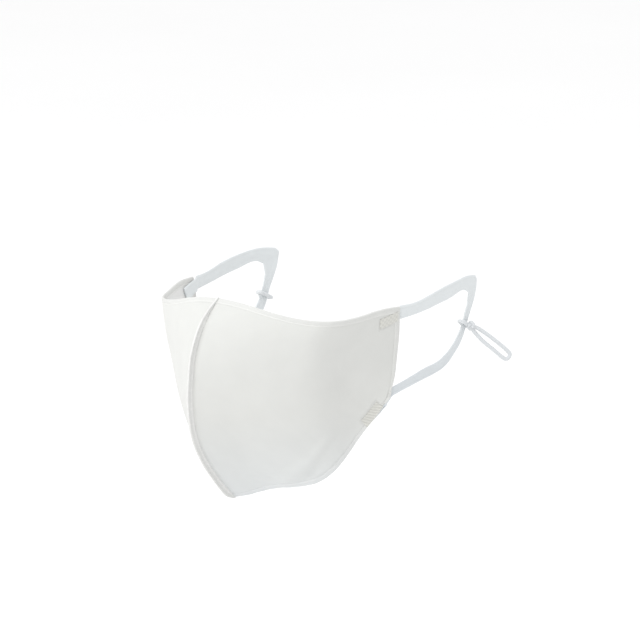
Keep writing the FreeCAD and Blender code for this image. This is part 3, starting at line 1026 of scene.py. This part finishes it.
def ear_strap(side, mirror):
    """Ear strap and its two welded ends, as one cloth."""
    outer, inner, under = strap_outlines()
    # rows crowd towards both edges, where the cloth is rounded
    b = np.cos(math.pi * np.linspace(0, 1, STRAP_ROWS)[None, :, None])
    b = 0.5 - 0.5 * b * (0.75 + 0.25 * b ** 2)
    places = outer[:, None] * (1 - b) + inner[:, None] * b
    y, z = places[..., 0], places[..., 1]
    middle = (outer + inner) / 2
    run = lengths_along(middle)
    width = np.linalg.norm(outer - inner, axis=1)[:, None]
    from_outer, from_inner = b[..., 0] * width, (1 - b[..., 0]) * width
    nearest = np.minimum(from_outer, from_inner)
    half_thick = STRAP_THICKNESS / 2 * np.sqrt(
        np.clip(nearest / STRAP_ROUNDING, 0.06, 1))
    along = run[:, None] + 0 * y
    ripple = (STRAP_RIPPLES[0] * waves(along / 3.1, from_outer / 2.0, 0.9)
              + STRAP_RIPPLES[1] * waves(along / 1.3, from_outer / 1.1, 2.2))
    press = EDGE_LINE_DEPTH * np.exp(
        -((from_outer - EDGE_LINE) / EDGE_LINE_WIDTH) ** 2)
    centre = strap_x(y, z) + STRAP_THICKNESS / 2 + ripple
    face, back = centre + half_thick - press, centre - half_thick
    lift = STACK + HEM_PROUD + TAB_LIFT
    faces = [np.stack([x, y, z], -1) for x in (face, back)]
    for end in under:
        s, t = shares_under(y[end], z[end])
        level = lift + STRAP_THICKNESS / 2 - drape(s, t)
        for grid, turned in zip(faces, (-1, 1)):
            grid[end] = below_face(s, t, level + turned * half_thick[end])
    # the strap runs smoothly from its welded ends out past the half's edge
    last = len(outer) - 1
    for first, second in ((under[0].stop - 1, under[0].stop + JOIN_STATIONS),
                          (last - under[0].stop - JOIN_STATIONS + 1, under[1].start)):
        share = smooth_step(np.linspace(0, 1, second - first + 1))[:, None]
        for grid in faces:
            grid[first:second + 1, :, 0] = (grid[first, :, 0] * (1 - share)
                                            + grid[second, :, 0] * share)
    flat = np.stack([along, from_outer], -1) * MM
    piece = closed_sheet(f"{side}_strap_cloth", *faces, flat, mirror,
                         from_edge=from_outer)
    dress(piece, LOOKS["strap"])
    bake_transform(piece)
    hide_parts(f"{side}_ear_strap", f"{side}_upper_strap_tab",
                f"{side}_lower_strap_tab")


# ---- the centre seam ----------------------------------------------------

FIN_WIDTH = 3.6
FIN_END_WIDTH = 0.8
FIN_TOP_TAPER = 30.0   # length over which it narrows to that, at the nose
FIN_CHIN_TAPER = 9.0   # and under the chin
FIN_STATIONS = 520
FIN_ROWS = 26          # up each face
FIN_MARK_PITCH, FIN_MARK_WIDTH, FIN_MARK_DEPTH = 1.6, 0.28, 0.15
FIN_ROWS_OF_MARKS = (0.95, 2.35)   # from the free edge
FIN_WAIST, FIN_WAIST_AT, FIN_WAIST_WIDTH = 0.16, 1.7, 0.75
FIN_SWAY = 0.14
FIN_ROUNDING = 0.5     # of its free edge


def fin_marks(left_over, place, wave_up):
    """Row of weld marks at a distance from the free edge."""
    row = FIN_MARK_DEPTH * np.exp(-((left_over - place) / FIN_MARK_WIDTH) ** 2)
    return row * (0.5 + 0.5 * wave_up) ** 2


def centre_fin():
    """Both halves welded face to face, with two rows of weld marks."""
    shares = np.linspace(0, 1, FIN_STATIONS)
    line = seam(shares)
    tangent = np.gradient(line, axis=0)
    forward = np.stack([0 * shares, tangent[:, 2], -tangent[:, 1]], -1)
    forward /= np.linalg.norm(forward, axis=1, keepdims=True)
    along = lengths_along(line)
    from_end = np.minimum(along / FIN_TOP_TAPER, (along[-1] - along) / FIN_CHIN_TAPER)
    from_end = np.minimum(from_end, 1.0)
    width = FIN_END_WIDTH + (FIN_WIDTH - FIN_END_WIDTH) * np.sin(from_end * math.pi / 2)
    # round the section: up one face from the root, over the free edge and back
    rise = np.linspace(0, 1, FIN_ROWS)
    up = np.concatenate([rise, rise[::-1]])
    out = np.concatenate([np.ones(FIN_ROWS), -np.ones(FIN_ROWS)])
    reach = -STACK + (width[:, None] + STACK) * up
    left_over = width[:, None] - reach
    edge = np.clip(left_over / FIN_ROUNDING, 0, 1)
    thick = FIN_THICKNESS / 2 * np.sqrt(np.clip(1 - (1 - edge) ** 2, 0.05, 1))
    waist = FIN_WAIST * np.exp(-((left_over - FIN_WAIST_AT) / FIN_WAIST_WIDTH) ** 2)
    mark_wave = np.sin(2 * math.pi * along[:, None] / FIN_MARK_PITCH)
    marks = fin_marks(left_over, FIN_ROWS_OF_MARKS[0], mark_wave)
    second = fin_marks(left_over, FIN_ROWS_OF_MARKS[1], -mark_wave)
    sway = (FIN_SWAY * waves(along / 3.4, along / 5.0, 0.3) * from_end)[:, None] * up
    points = line[:, None] * (0, 1, 1) + forward[:, None] * reach[..., None]
    points[..., 0] = out * (thick - waist * edge - marks - second) + sway
    index = np.arange(FIN_STATIONS * 2 * FIN_ROWS).reshape(FIN_STATIONS, -1)
    onward = np.roll(index, -1, 1)
    around = np.stack([index[:-1], onward[:-1], onward[1:], index[1:]], -1)
    faces = [around.reshape(-1, 4)]
    last = FIN_ROWS - 1
    for end, flip in ((index[0], True), (index[-1], False)):
        back = end[::-1]
        cap = np.stack([end[:last], end[1:FIN_ROWS], back[1:FIN_ROWS], back[:last]], -1)
        faces.append(cap if flip else cap[:, ::-1])
    flat = np.stack([along[:, None] + 0 * reach, reach], -1) * MM
    piece = finished_mesh("centre_fin", points.reshape(-1, 3), np.concatenate(faces),
                          flat.reshape(-1, 2), 1, sharp=60)
    dress(piece, LOOKS["fin"])
    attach(piece, "seam")
    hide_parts("centre_seam")


def cloth():
    for side, mirror in SIDES:
        sheets = plies(side, mirror)
        edges = hems(side, mirror)
        welds(side, mirror)
        ear_strap(side, mirror)


cloth()
centre_fin()


# ---- floor --------------------------------------------------------------

FLOOR_SIZE = 30.0
FLOOR_DROP = 0.055     # below the mask, which is held up by what wears it


def floor():
    height = cad_low.z - FLOOR_DROP
    mesh = bpy.data.meshes.new("floor")
    corners = [(x * FLOOR_SIZE, y * FLOOR_SIZE, height)
               for x, y in ((-1, -1), (1, -1), (1, 1), (-1, 1))]
    mesh.from_pydata(corners, [], [(0, 1, 2, 3)])
    made, tree, shader = new_material("floor", 0.9, 0.0)
    spot = node(tree, "ShaderNodeTexCoord").outputs["Object"]
    shade = ramp(tree, noise(tree, spot, 3, 2), 0.3, 0.7, (0.945, 0.945, 0.945),
                 (0.955, 0.955, 0.955))
    tree.links.new(shade, shader.inputs["Base Color"])
    mesh.materials.append(made)
    piece = bpy.data.objects.new("floor", mesh)
    bpy.context.collection.objects.link(piece)


floor()
